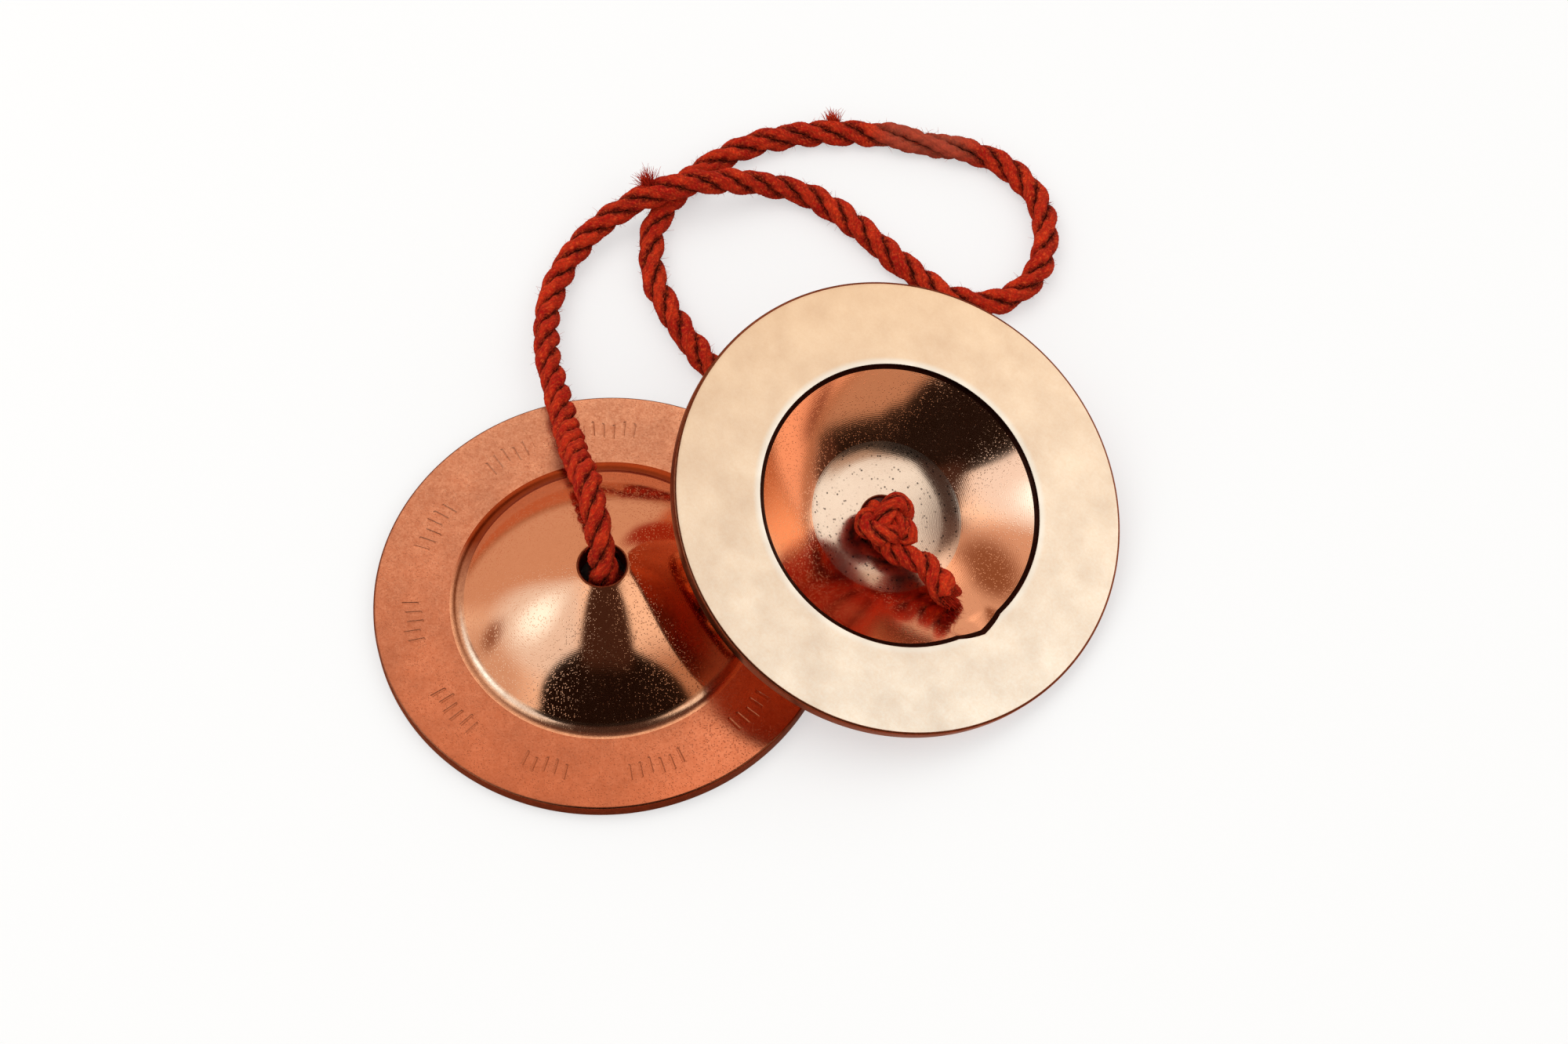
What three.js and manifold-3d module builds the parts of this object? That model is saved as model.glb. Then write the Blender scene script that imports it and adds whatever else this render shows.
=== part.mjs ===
// A pair of manjira: two small cast hand cymbals strung on one knotted cord.
// Millimetres, +Z up. The left cymbal lies face down, the right one leans dome down beside it.
// The origin is on the ground, in the middle of the box round the two cymbals.

import * as THREE from 'three';
import { mergeVertices } from 'three/addons/utils/BufferGeometryUtils.js';
import Module from 'manifold-3d';

const wasm = await Module();
wasm.setup();

// Cymbals
const rimDiameter = 65;
const rimEdgeThickness = 2.2;
const rimRootThickness = 1.7;
const rimEdgeBreak = 0.3;
const openingDiameter = 40.4;
const lipBreak = 0.25;
const domeRise = 9.7;
const domeCurveRadius = 50;
const wallThickness = 1.6;
const cupFloorRadius = 9.7;
const cupFloorCurveRadius = 50;
const cupFloorFillet = 1.1;
const creaseFillet = 1.2;
const boreDiameter = 6.4;
const boreBreak = 0.3;

// How the right cymbal leans
const domeLift = 1.9;
const leanAzimuth = -36.16;
const pairSpacing = 41.97;
const pairAzimuth = 11.38;

// Cord, knots and cord ends
const cordDiameter = 3.7;
const jointGap = 0.3;
const knotDiameter = 9.4;
const knotHeight = 6;
const knotStrandDiameter = 3.4;
const cordEndDiameter = 2.9;
const cordEndTipDiameter = 3.6;

// Mesh fineness
const latheSteps = 72;
const arcSteps = 7;
const cordSides = 8;
const cordStep = 6;
const leadStep = 4;

// Sizes that follow
const rimRadius = rimDiameter / 2;
const openingRadius = openingDiameter / 2;
const boreRadius = boreDiameter / 2;
const cordRadius = cordDiameter / 2;
const innerArc = wallArc(domeCurveRadius);
const outerArc = wallArc(domeCurveRadius + wallThickness);
const crownHeight = outerArc.heightAt(boreRadius);
const creaseRadius = outerArc.radiusAt(rimRootThickness);
const cupFloorSag = cupFloorRadius ** 2 / (2 * cupFloorCurveRadius);
const cupFloorCentre = innerArc.heightAt(cupFloorRadius) + cupFloorSag;
const boreInnerHeight = cupFloorHeight(boreRadius);
const boreMiddle = (boreInnerHeight + crownHeight) / 2;

// The dome's two faces are arcs about one centre, so its wall is even from the rim to the
// edge of the cup's floor
function wallArc(radius) {
  const lip = new THREE.Vector2(openingRadius, 0);
  const crown = new THREE.Vector2(boreRadius, domeRise);
  const chord = crown.clone().sub(lip);
  const middle = lip.clone().add(crown).multiplyScalar(0.5);
  const inward = new THREE.Vector2(-chord.y, chord.x).normalize();
  const reach = Math.sqrt(domeCurveRadius ** 2 - (chord.length() / 2) ** 2);
  const centre = middle.addScaledVector(inward, reach);
  return {
    heightAt: (r) => centre.y + Math.sqrt(radius ** 2 - (r - centre.x) ** 2),
    radiusAt: (h) => centre.x + Math.sqrt(radius ** 2 - (h - centre.y) ** 2),
  };
}

// The cup's floor is a shallow hollow, so the casting is thickest round the bore
function cupFloorHeight(r) {
  return cupFloorCentre - r ** 2 / (2 * cupFloorCurveRadius);
}

function arcPoints(arc, fromRadius, toRadius) {
  const points = [];
  for (let i = 0; i <= arcSteps; i += 1) {
    const r = THREE.MathUtils.lerp(fromRadius, toRadius, i / arcSteps);
    points.push(new THREE.Vector2(r, arc.heightAt(r)));
  }
  return points;
}

// Section of a cymbal: playing face at height 0, dome upwards
function cymbalSection() {
  const rimSlope = (rimEdgeThickness - rimRootThickness) / (rimRadius - creaseRadius);
  const filletStart = new THREE.Vector2(
    creaseRadius + creaseFillet,
    rimRootThickness + rimSlope * creaseFillet,
  );
  const filletEndRadius = creaseRadius - creaseFillet * 0.7;
  const crease = new THREE.Vector2(creaseRadius, rimRootThickness);
  const filletEnd = new THREE.Vector2(filletEndRadius, outerArc.heightAt(filletEndRadius));
  const fillet = new THREE.QuadraticBezierCurve(filletStart, crease, filletEnd).getPoints(4);
  const lipRadius = openingRadius - lipBreak;
  const floorEdge = cupFloorRadius - cupFloorFillet;
  const wallStart = cupFloorRadius + cupFloorFillet;
  const floorFillet = new THREE.QuadraticBezierCurve(
    new THREE.Vector2(floorEdge, cupFloorHeight(floorEdge)),
    new THREE.Vector2(cupFloorRadius, cupFloorHeight(cupFloorRadius)),
    new THREE.Vector2(wallStart, innerArc.heightAt(wallStart)),
  ).getPoints(4);
  return [
    new THREE.Vector2(openingRadius + lipBreak, 0),
    new THREE.Vector2(rimRadius - rimEdgeBreak, 0),
    new THREE.Vector2(rimRadius, rimEdgeBreak),
    new THREE.Vector2(rimRadius, rimEdgeThickness - rimEdgeBreak),
    new THREE.Vector2(rimRadius - rimEdgeBreak, rimEdgeThickness),
    ...fillet.slice(0, -1),
    ...arcPoints(outerArc, filletEndRadius, boreRadius + boreBreak),
    new THREE.Vector2(boreRadius, crownHeight - boreBreak),
    new THREE.Vector2(boreRadius, boreInnerHeight + boreBreak),
    new THREE.Vector2(boreRadius + boreBreak, cupFloorHeight(boreRadius + boreBreak)),
    ...floorFillet.slice(0, -1),
    ...arcPoints(innerArc, wallStart, lipRadius),
    new THREE.Vector2(openingRadius + lipBreak, 0),
  ];
}

// Turned about the bore, then stood with the dome towards +Z
function cymbalGeometry() {
  const turned = new THREE.LatheGeometry(cymbalSection(), latheSteps);
  return facingOut(turned.rotateX(Math.PI / 2));
}

function welded(geometry) {
  const bare = geometry.clone();
  bare.deleteAttribute('normal');
  bare.deleteAttribute('uv');
  return mergeVertices(bare, 1e-4);
}

function signedVolume(geometry) {
  const at = geometry.getAttribute('position');
  const index = geometry.getIndex();
  const [a, b, c] = [new THREE.Vector3(), new THREE.Vector3(), new THREE.Vector3()];
  let volume = 0;
  for (let i = 0; i < index.count; i += 3) {
    a.fromBufferAttribute(at, index.getX(i));
    b.fromBufferAttribute(at, index.getX(i + 1));
    c.fromBufferAttribute(at, index.getX(i + 2));
    volume += a.dot(b.cross(c)) / 6;
  }
  return volume;
}

function facingOut(geometry) {
  const closed = welded(geometry);
  if (signedVolume(closed) < 0) {
    const index = closed.getIndex();
    for (let i = 0; i < index.count; i += 3) {
      const second = index.getX(i + 1);
      index.setX(i + 1, index.getX(i + 2));
      index.setX(i + 2, second);
    }
  }
  closed.computeVertexNormals();
  return closed;
}

// Joining solids
function toSolid(geometry) {
  const closed = facingOut(geometry);
  return new wasm.Manifold(new wasm.Mesh({
    numProp: 3,
    vertProperties: new Float32Array(closed.getAttribute('position').array),
    triVerts: new Uint32Array(closed.getIndex().array),
  }));
}

function toGeometry(solid) {
  const mesh = solid.getMesh();
  const geometry = new THREE.BufferGeometry();
  geometry.setAttribute('position', new THREE.BufferAttribute(mesh.vertProperties, 3));
  geometry.setIndex(new THREE.BufferAttribute(mesh.triVerts, 1));
  geometry.computeVertexNormals();
  return geometry;
}

function joined(geometries) {
  const [first, ...rest] = geometries.map(toSolid);
  return toGeometry(rest.reduce((sum, solid) => sum.add(solid), first));
}

// Tubes
function ringShape(radius, sides) {
  const shape = new THREE.Shape();
  for (let i = 0; i < sides; i += 1) {
    const angle = ((i + 0.5) / sides) * Math.PI * 2;
    const x = radius * Math.cos(angle);
    const y = radius * Math.sin(angle);
    if (i === 0) shape.moveTo(x, y);
    else shape.lineTo(x, y);
  }
  shape.closePath();
  return shape;
}

function tubeGeometry(curve, radius, sides, steps) {
  return new THREE.ExtrudeGeometry(ringShape(radius, sides), {
    steps,
    bevelEnabled: false,
    extrudePath: curve,
  });
}

// A piece of a longer curve, between two distances along it
class Stretch extends THREE.Curve {
  constructor(whole, from, to) {
    super();
    this.whole = whole;
    this.from = from / whole.getLength();
    this.to = to / whole.getLength();
  }

  getPoint(t, target = new THREE.Vector3()) {
    return this.whole.getPointAt(THREE.MathUtils.lerp(this.from, this.to, t), target);
  }
}

// Where the right cymbal lies. It leans on the edge of its rim, and its dome is held off
// the ground by the cord that comes out from under it.
const crownRun = rimRadius - boreRadius;
const crownRise = crownHeight - rimEdgeThickness;
const restLean = Math.atan2(crownRise, crownRun);
const lean = restLean + Math.asin(domeLift / Math.hypot(crownRun, crownRise));
const leanTurn = THREE.MathUtils.degToRad(leanAzimuth);
const downhill = new THREE.Vector3(Math.cos(leanTurn), Math.sin(leanTurn), 0);
const across = new THREE.Vector3(-Math.sin(leanTurn), Math.cos(leanTurn), 0);
const cupAxis = downhill.clone().multiplyScalar(Math.sin(lean));
cupAxis.z = Math.cos(lean);
const pairTurn = THREE.MathUtils.degToRad(pairAzimuth);
const rightCentre = new THREE.Vector3(
  pairSpacing * Math.cos(pairTurn),
  pairSpacing * Math.sin(pairTurn),
  rimRadius * Math.sin(lean) + rimEdgeThickness * Math.cos(lean),
);

// Points in the right cup: downhill along its face, across it, and up out of the cup
const cupDownhill = across.clone().cross(cupAxis);
const cupFrame = new THREE.Matrix4()
  .makeBasis(cupDownhill, across, cupAxis)
  .setPosition(rightCentre);

function inRightCup(x, y, z) {
  return new THREE.Vector3(x, y, z).applyMatrix4(cupFrame);
}

// The cord's middle line. It starts over the left knot and climbs through the left bore,
// measured from the middle of that bore.
const climb = [
  [0.29, -0.79, -2.5],
  [0.13, -0.23, 0.42],
  [-0.27, 2.11, 4.16],
  [-0.98, 5.82, 6.25],
  [-1.9, 9.25, 6.45],
  [-2.61, 11.85, 5.5],
].map(([x, y, z]) => new THREE.Vector3(x, y, boreMiddle + z));

// Down the left dome, over its rim, and in one loop on the ground that passes under itself,
// measured from the left cymbal's centre
const loop = [
  [-4.5, 17.9, 11.0],
  [-6.2, 25.3, 6.6],
  [-7.8, 31.5, 5],
  [-9.3, 38.1, 4.3],
  [-9.8, 45.6, 2.9],
  [-8.3, 53.5, 2.2],
  [-4.3, 60.2, 2.7],
  [1.1, 64.2, 4.3],
  [6.9, 66.1, 6.1],
  [12.0, 67.6, 6.1],
  [23.6, 69.3, 2.7],
  [30.9, 66.7, 1.95],
  [43.3, 54.9, 1.95],
  [49.4, 49.8, 1.95],
  [56.3, 49.0, 1.95],
  [61.6, 52.8, 1.95],
  [64.0, 59.7, 1.95],
  [62.6, 68.2, 1.95],
  [57.1, 74.4, 1.95],
  [48.6, 77.2, 1.95],
  [35.4, 79.7, 1.95],
  [22.4, 78.3, 1.95],
  [14.4, 74.1, 1.95],
  [8.3, 67.9, 1.95],
  [5.3, 60.8, 1.95],
  [5.8, 53.2, 1.95],
  [9.7, 44.5, 1.95],
  [16.4, 35.3, 1.95],
  [26.9, 26.1, 1.95],
  [31.6, 18.05, 2.2],
].map(([x, y, z]) => new THREE.Vector3(x, y, z));

// Under the right dome and up its bore to the right knot, measured in the right cup from
// the middle of the bore
const entry = [
  [-2.7, 0.9, -4.2],
  [-0.54, 0.3, -2.16],
  [0.58, -0.15, 0.45],
  [0.89, -0.19, 2.5],
].map(([x, y, z]) => inRightCup(x, y, z - boreMiddle));
const cordLine = new THREE.CatmullRomCurve3([...climb, ...loop, ...entry], false, 'centripetal');
const cordLength = cordLine.getLength();
const leadLength = 22;

function cordStretch(from, to, step) {
  const steps = Math.round((to - from) / step);
  return facingOut(tubeGeometry(new Stretch(cordLine, from, to), cordRadius, cordSides, steps));
}

// A knot: a pressed core with two crossed turns of the cord round it. Its own +Z is the
// way that the cord leaves it, and its top is at the origin.
function knotGeometry() {
  const turnRadius = (knotDiameter - knotStrandDiameter) / 2;
  const core = new THREE.SphereGeometry(1, 16, 10);
  core.scale(turnRadius + knotStrandDiameter * 0.2, turnRadius, knotHeight / 2);
  const turns = [-1, 1].map((side) => {
    const turn = new THREE.TorusGeometry(turnRadius, knotStrandDiameter / 2, 8, 20);
    turn.rotateX(side * Math.PI * 0.14);
    turn.rotateZ(side * Math.PI * 0.23);
    return turn;
  });
  const knot = joined([core, ...turns]);
  knot.translate(0, 0, -knotHeight / 2);
  return knot;
}

// A cut cord end that thickens where its yarns open
function cordEndGeometry(length) {
  const profile = [
    new THREE.Vector2(0, 0),
    new THREE.Vector2(cordEndDiameter / 2, 0),
    new THREE.Vector2(cordEndDiameter / 2, length * 0.6),
    new THREE.Vector2(cordEndTipDiameter / 2, length * 0.85),
    new THREE.Vector2(cordEndTipDiameter / 3, length),
    new THREE.Vector2(0, length),
  ];
  return facingOut(new THREE.LatheGeometry(profile, 10).rotateX(Math.PI / 2));
}

// Finishes
const finishes = {
  rosyBronze: new THREE.MeshStandardMaterial({ color: '#cf8560', roughness: 0.3, metalness: 1 }),
  paleBronze: new THREE.MeshStandardMaterial({ color: '#f2cfa2', roughness: 0.32, metalness: 1 }),
  redCotton: new THREE.MeshStandardMaterial({ color: '#b4231a', roughness: 0.9, metalness: 0 }),
};

const pair = new THREE.Group();

function addPiece(name, geometry, material) {
  const piece = new THREE.Mesh(geometry, material);
  piece.name = name;
  pair.add(piece);
  return piece;
}

// A piece stood at a point, its own +Z turned to a direction
function standPiece(piece, point, direction) {
  piece.position.copy(point);
  piece.quaternion.setFromUnitVectors(new THREE.Vector3(0, 0, 1), direction.clone().normalize());
}

// A knot at one end of the cord, a gap below the cord's cut face
function addKnot(name, u, sign) {
  const away = cordLine.getTangentAt(u).multiplyScalar(sign);
  const top = cordLine.getPointAt(u).addScaledVector(away, -jointGap);
  standPiece(addPiece(name, knotGeometry(), finishes.redCotton), top, away);
}

function addCordEnd(name, from, to) {
  const run = to.clone().sub(from);
  const piece = addPiece(name, cordEndGeometry(run.length()), finishes.redCotton);
  standPiece(piece, from, run);
}

addPiece('left_cymbal', cymbalGeometry(), finishes.rosyBronze);
standPiece(
  addPiece('right_cymbal', cymbalGeometry(), finishes.paleBronze),
  rightCentre,
  cupAxis.clone().negate(),
);
const leadStart = cordLength - leadLength;
const cordTube = cordStretch(0, leadStart - jointGap, cordStep);
const leadTube = cordStretch(leadStart, cordLength, leadStep);
addPiece('cord', cordTube, finishes.redCotton);
addPiece('right_lead', leadTube, finishes.redCotton);
addKnot('left_knot', 0, 1);
addKnot('right_knot', 1, -1);
addCordEnd('left_cord_end', new THREE.Vector3(4.1, -5.0, 3.4), new THREE.Vector3(11.6, -8.8, 2.1));
addCordEnd('right_cord_end', inRightCup(6.8, -0.3, -3.7), inRightCup(13.8, -4.8, -2.1));

// The origin goes to the middle of the two cymbals' box
pair.updateMatrixWorld(true);
const box = new THREE.Box3();
for (const name of ['left_cymbal', 'right_cymbal']) {
  box.union(new THREE.Box3().setFromObject(pair.getObjectByName(name), true));
}
const middle = box.getCenter(new THREE.Vector3());
pair.position.set(-middle.x, -middle.y, 0);
pair.updateMatrixWorld(true);

console.log(`cord ${cordLength.toFixed(1)} mm, lean ${THREE.MathUtils.radToDeg(lean).toFixed(2)} degrees`);

export default pair;
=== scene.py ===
import math
from functools import partial

import bpy
import numpy as np
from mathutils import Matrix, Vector


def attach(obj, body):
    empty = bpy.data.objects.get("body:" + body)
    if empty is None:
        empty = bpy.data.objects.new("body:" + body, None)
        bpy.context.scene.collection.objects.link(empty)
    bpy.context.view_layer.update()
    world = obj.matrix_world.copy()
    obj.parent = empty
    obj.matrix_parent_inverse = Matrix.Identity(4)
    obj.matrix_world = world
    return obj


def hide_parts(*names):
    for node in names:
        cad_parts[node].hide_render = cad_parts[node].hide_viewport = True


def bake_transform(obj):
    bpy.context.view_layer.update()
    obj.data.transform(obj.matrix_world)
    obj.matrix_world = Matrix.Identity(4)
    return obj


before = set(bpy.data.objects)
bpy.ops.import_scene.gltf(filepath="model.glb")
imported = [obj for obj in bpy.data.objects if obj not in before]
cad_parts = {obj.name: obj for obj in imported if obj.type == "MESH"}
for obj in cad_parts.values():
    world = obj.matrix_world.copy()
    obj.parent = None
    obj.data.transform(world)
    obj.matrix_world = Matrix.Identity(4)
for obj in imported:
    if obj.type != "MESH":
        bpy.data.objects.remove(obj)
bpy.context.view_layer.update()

mm = 0.001  # every length below is written in millimetres
print("frame loaded:", len(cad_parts), "nodes")


def linearColour(hexCode):  # sRGB hex to the linear values that sockets take
    channels = [int(hexCode[i : i + 2], 16) / 255 for i in (1, 3, 5)]
    return [c / 12.92 if c <= 0.04045 else ((c + 0.055) / 1.055) ** 2.4 for c in channels] + [1.0]


def addNode(tree, kind, settings=None):  # each setting is a property, a value or a socket to link
    node = tree.nodes.new("ShaderNode" + kind)
    for key, value in (settings or {}).items():
        if isinstance(value, bpy.types.NodeSocket):
            tree.links.new(value, node.inputs[key])
        elif isinstance(key, str) and hasattr(node, key):
            setattr(node, key, value)
        else:
            node.inputs[key].default_value = value
    return node.outputs


def newMaterial(name):
    material = bpy.data.materials.new(name)
    material.use_nodes = True
    material.node_tree.nodes.clear()
    return material, partial(addNode, material.node_tree)


def unit(v):
    return v / np.linalg.norm(v)


leftCentre = np.array([-19.836, -3.975, 0.0])  # centre of the left playing face
rightCentre = np.array([21.309, 4.307, 13.675])  # centre of the right playing face
cupAxis = np.array([0.288682, -0.210974, 0.933891])  # out of the right cup
across = np.array([0.590042, 0.807372, 0.0])  # level line in the right face
downhill = np.cross(across, cupAxis)
xAxis, yAxis, zAxis = np.eye(3)

view = {
    "lookAt": leftCentre + np.array([24.912, 12.999, 0.0]),
    "elevation": 60.987,  # degrees above the ground
    "distance": 446.685,
    "lens": 72.0,
}


def placeCamera():
    data = bpy.data.cameras.new("camera")
    data.lens = view["lens"]
    data.sensor_width = 36.0
    data.clip_start = 0.01
    camera = bpy.data.objects.new("camera", data)
    bpy.context.scene.collection.objects.link(camera)
    elevation = math.radians(view["elevation"])
    back = np.array([0.0, -math.cos(elevation), math.sin(elevation)])
    camera.location = Vector((view["lookAt"] + back * view["distance"]) * mm)
    camera.rotation_euler = (math.pi / 2 - elevation, 0.0, 0.0)
    bpy.context.scene.camera = camera


placeCamera()

room = {
    "floor": "#bebdbb",
    "floorMirrored": ("#d18059", "#fbb083"),  # painted reflection: tones the table shows only to polished metal, left and right
    "mirroredFrom": (-0.01, 0.04),  # metres along X from the left tone to the right one
    # painted reflection: a warm glow that the table gives off only to polished metal
    "floorMirroredGlow": 0.2,
    "tableEnd": {"at": (0.46, -0.15), "half": (0.30, 0.085), "turn": -18, "soft": 0.3},  # metres
    # painted reflection: the darker tone polished metal sees at the far end of the table
    "tableEndMirrored": "#85452d",
    "floorGlow": 0.52,
    "darkUnder": (0.027, 0.031),  # metres from the left centre, where the glow starts
    "floorSize": 1600.0,
    "worldLight": 0.66,  # what falls on matt surfaces from all round
    "lamps": {  # azimuth, elevation, distance, size and power
        "key": (150, 62, 900, 700, 2.0),
        "fill": (-20, 50, 900, 700, 0.9),
    },
    "tent": [1.18, 1.17, 1.14, 1],
    # The room round the tent as polished metal sees it, on a round map of the sky with 0
    # overhead and 1 at the horizon, painted one over the other: centre, half sizes,
    # softness, tone, and for some the turn in degrees.
    "shapes": [
        ((-0.15, 0.70), (0.85, 0.65), 0.11, [0.76, 0.56, 0.46, 1]),  # warm wall
        ((-0.80, -0.22), (0.36, 0.42), 0.35, [0.80, 0.68, 0.62, 1]),  # its left end
        ((-0.20, 0.32), (0.08, 0.18), 0.45, [0.28, 0.12, 0.06, 1]),  # dark doorway
        ((0.03, 0.32), (0.13, 0.12), 0.5, [1.35, 1.0, 0.82, 1]),  # window beside it
        ((0.47, 0.78), (0.20, 0.30), 0.2, [0.60, 0.20, 0.10, 1]),  # red cloth
        ((0.32, 0.64), (0.17, 0.12), 0.3, [0.36, 0.04, 0.015, 1]),  # its shadow
        ((-0.40, -0.05), (0.33, 0.15), 0.3, [1.02, 1.24, 1.46, 1], -52.5),  # softbox
        ((-0.43, -0.01), (0.10, 0.075), 0.8, [1.5, 2.4, 3.2, 1], -52),  # its lamp
        ((-0.65, 0.04), (0.05, 0.07), 0.7, [0.35, 0.20, 0.15, 1]),  # its stand
        ((0.55, -0.52), (0.56, 0.42), 0.2, [0.54, 0.35, 0.25, 1], 20),  # table
        ((0.96, 0.05), (0.07, 0.33), 0.35, [0.50, 0.27, 0.19, 1]),  # its far end
        ((-0.05, -0.58), (0.32, 0.17), 0.15, [0.014, 0.007, 0.005, 1]),  # black cloth in front
        ((0.03, -0.43), (0.41, 0.195), 0.06, [0.012, 0.006, 0.004, 1], 0, "boxy"),  # its top
        ((0.58, -0.385), (0.36, 0.125), 0.15, [0.016, 0.008, 0.005, 1], 24),  # its right end
        ((0.845, -0.16), (0.075, 0.19), 0.35, [0.07, 0.03, 0.02, 1], -12),  # its far fold
        ((0.01, 0.04), (0.175, 0.12), 0.25, [0.12, 0.055, 0.04, 1]),  # black boom
        ((0.0, -0.15), (0.165, 0.16), 0.15, [0.06, 0.03, 0.022, 1], 0, "boxy"),  # card below it
    ],
    "horizon": [0.45, 0.24, 0.15, 1],
    "horizonRing": (0.94, 0.99),
}
smooth = {"interpolation_type": "SMOOTHSTEP"}
fadeOut = {**smooth, "To Min": 1.0, "To Max": 0.0}  # 1 up to From Min, 0 from From Max
blend = {"data_type": "RGBA"}


def softOval(add, place, at, half, soft, turn=0, form="oval"):  # 1 inside, 0 outside
    size = {"Location": (*at, 0.0), "Rotation": (0.0, 0.0, math.radians(turn)), "Scale": (*half, 1.0)}
    spot = add("Mapping", {"vector_type": "TEXTURE", **size, 0: place})[0]
    if form == "boxy":
        spot = add("VectorMath", {"operation": "MULTIPLY", 0: spot, 1: spot})[0]
        soft *= 2
    away = add("VectorMath", {"operation": "LENGTH", 0: spot})["Value"]
    return add("MapRange", {**fadeOut, "Value": away, "From Min": 1 - soft, "From Max": 1 + soft})[0]


def buildWorld():
    # A white tent with black cloth in front, a warm wall behind and a softbox to the left:
    # only polished metal sees them.
    world = bpy.data.worlds.new("tent")
    bpy.context.scene.world = world
    world.use_nodes = True
    world.node_tree.nodes.clear()
    add = partial(addNode, world.node_tree)
    direction = add("SeparateXYZ", {0: add("TexCoord")["Generated"]})
    above = add("Math", {"operation": "ADD", 0: direction["Z"], 1: 1.001})[0]
    sideways = add("Math", {"operation": "DIVIDE", 0: direction["X"], 1: above})[0]
    away = add("Math", {"operation": "DIVIDE", 0: direction["Y"], 1: above})[0]
    place = add("CombineXYZ", {0: sideways, 1: away})[0]
    colour = room["tent"]
    for at, half, soft, tone, *form in room["shapes"]:
        inside = softOval(add, place, at, half, soft, *form)
        colour = add("Mix", {**blend, 0: inside, 6: colour, 7: tone})[2]
    fromTop = add("VectorMath", {"operation": "LENGTH", 0: place})["Value"]
    start, end = room["horizonRing"]
    sky = add("MapRange", {**fadeOut, "Value": fromTop, "From Min": start, "From Max": end})[0]
    colour = add("Mix", {**blend, 0: sky, 6: room["horizon"], 7: colour})[2]
    path = add("LightPath")
    white = linearColour("#ffffff")
    seen = add("Background", {"Color": white, "Strength": 1.0})[0]
    mirrored = add("Background", {"Color": colour, "Strength": 1.0})[0]
    ambient = add("Background", {"Color": white, "Strength": room["worldLight"]})[0]
    first = add("MixShader", {0: path["Is Glossy Ray"], 1: ambient, 2: mirrored})[0]
    both = add("MixShader", {0: path["Is Camera Ray"], 1: first, 2: seen})[0]
    add("OutputWorld", {0: both})


def buildFloor():
    half = room["floorSize"] / 2 * mm
    mesh = bpy.data.meshes.new("floor")
    corners = [(-half, -half, 0), (half, -half, 0), (half, half, 0), (-half, half, 0)]
    mesh.from_pydata(corners, [], [(0, 1, 2, 3)])
    floor = bpy.data.objects.new("floor", mesh)
    bpy.context.scene.collection.objects.link(floor)
    material, add = newMaterial("matt white paper")
    path = add("LightPath")
    place = add("TexCoord")["Object"]
    side = add("SeparateXYZ", {0: place})["X"]
    start, end = room["mirroredFrom"]
    right = add("MapRange", {"Value": side, "From Min": start, "From Max": end})[0]
    # painted reflection: the table's tones as only glossy rays see them, darker at its far end
    leftTone, rightTone = (linearColour(c) for c in room["floorMirrored"])
    mirrored = add("Mix", {**blend, 0: right, 6: leftTone, 7: rightTone})[2]
    beyond = softOval(add, place, **room["tableEnd"])
    farTone = linearColour(room["tableEndMirrored"])
    mirrored = add("Mix", {**blend, 0: beyond, 6: mirrored, 7: farTone})[2]
    paperTone = linearColour(room["floor"])
    paper = add("Mix", {**blend, 0: path["Is Glossy Ray"], 6: paperTone, 7: mirrored})[2]
    surface = add("BsdfPrincipled", {"Base Color": paper, "Roughness": 0.9, "Specular IOR Level": 0.1})[0]
    # Paper lit evenly from below, but not in the dark under the left cymbal
    centre = tuple(leftCentre * mm)
    away = add("VectorMath", {"operation": "DISTANCE", 0: place, 1: centre})["Value"]
    start, end = room["darkUnder"]
    clear = {"Value": away, "From Min": start, "From Max": end, "To Max": room["floorGlow"]}
    glow = add("Math", {"operation": "MULTIPLY", 0: path["Is Camera Ray"], 1: add("MapRange", clear)[0]})[0]
    # painted reflection: a warm glow that only glossy rays see, on the right of the table and not at its
    # far end
    near = add("Math", {"operation": "SUBTRACT", 0: 1.0, 1: beyond})[0]
    mirroredGlow = add("Math", {"operation": "MULTIPLY", 0: right, 1: room["floorMirroredGlow"]})[0]
    for share in (path["Is Glossy Ray"], near):
        mirroredGlow = add("Math", {"operation": "MULTIPLY", 0: mirroredGlow, 1: share})[0]
    strength = add("Math", {"operation": "ADD", 0: glow, 1: mirroredGlow})[0]
    lift = add("Emission", {"Color": linearColour("#ffffff"), "Strength": strength})[0]
    add("OutputMaterial", {0: add("AddShader", {0: surface, 1: lift})[0]})
    mesh.materials.append(material)


def addLamp(name, azimuth, elevation, distance, size, power):
    data = bpy.data.lights.new(name, "AREA")
    data.size = size * mm
    data.energy = power
    lamp = bpy.data.objects.new(name, data)
    bpy.context.scene.collection.objects.link(lamp)
    az, el = math.radians(azimuth), math.radians(elevation)
    towards = Vector((math.cos(az) * math.cos(el), math.sin(az) * math.cos(el), math.sin(el)))
    lamp.location = towards * distance * mm
    lamp.rotation_euler = (-towards).to_track_quat("-Z", "Y").to_euler()
    lamp.visible_glossy = False  # the world's softbox is what the metal mirrors


buildWorld()
buildFloor()
for lampName, values in room["lamps"].items():
    addLamp(lampName, *values)
scene = bpy.context.scene
scene.view_settings.view_transform = "Standard"
print("camera, room and lamps set")


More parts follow.
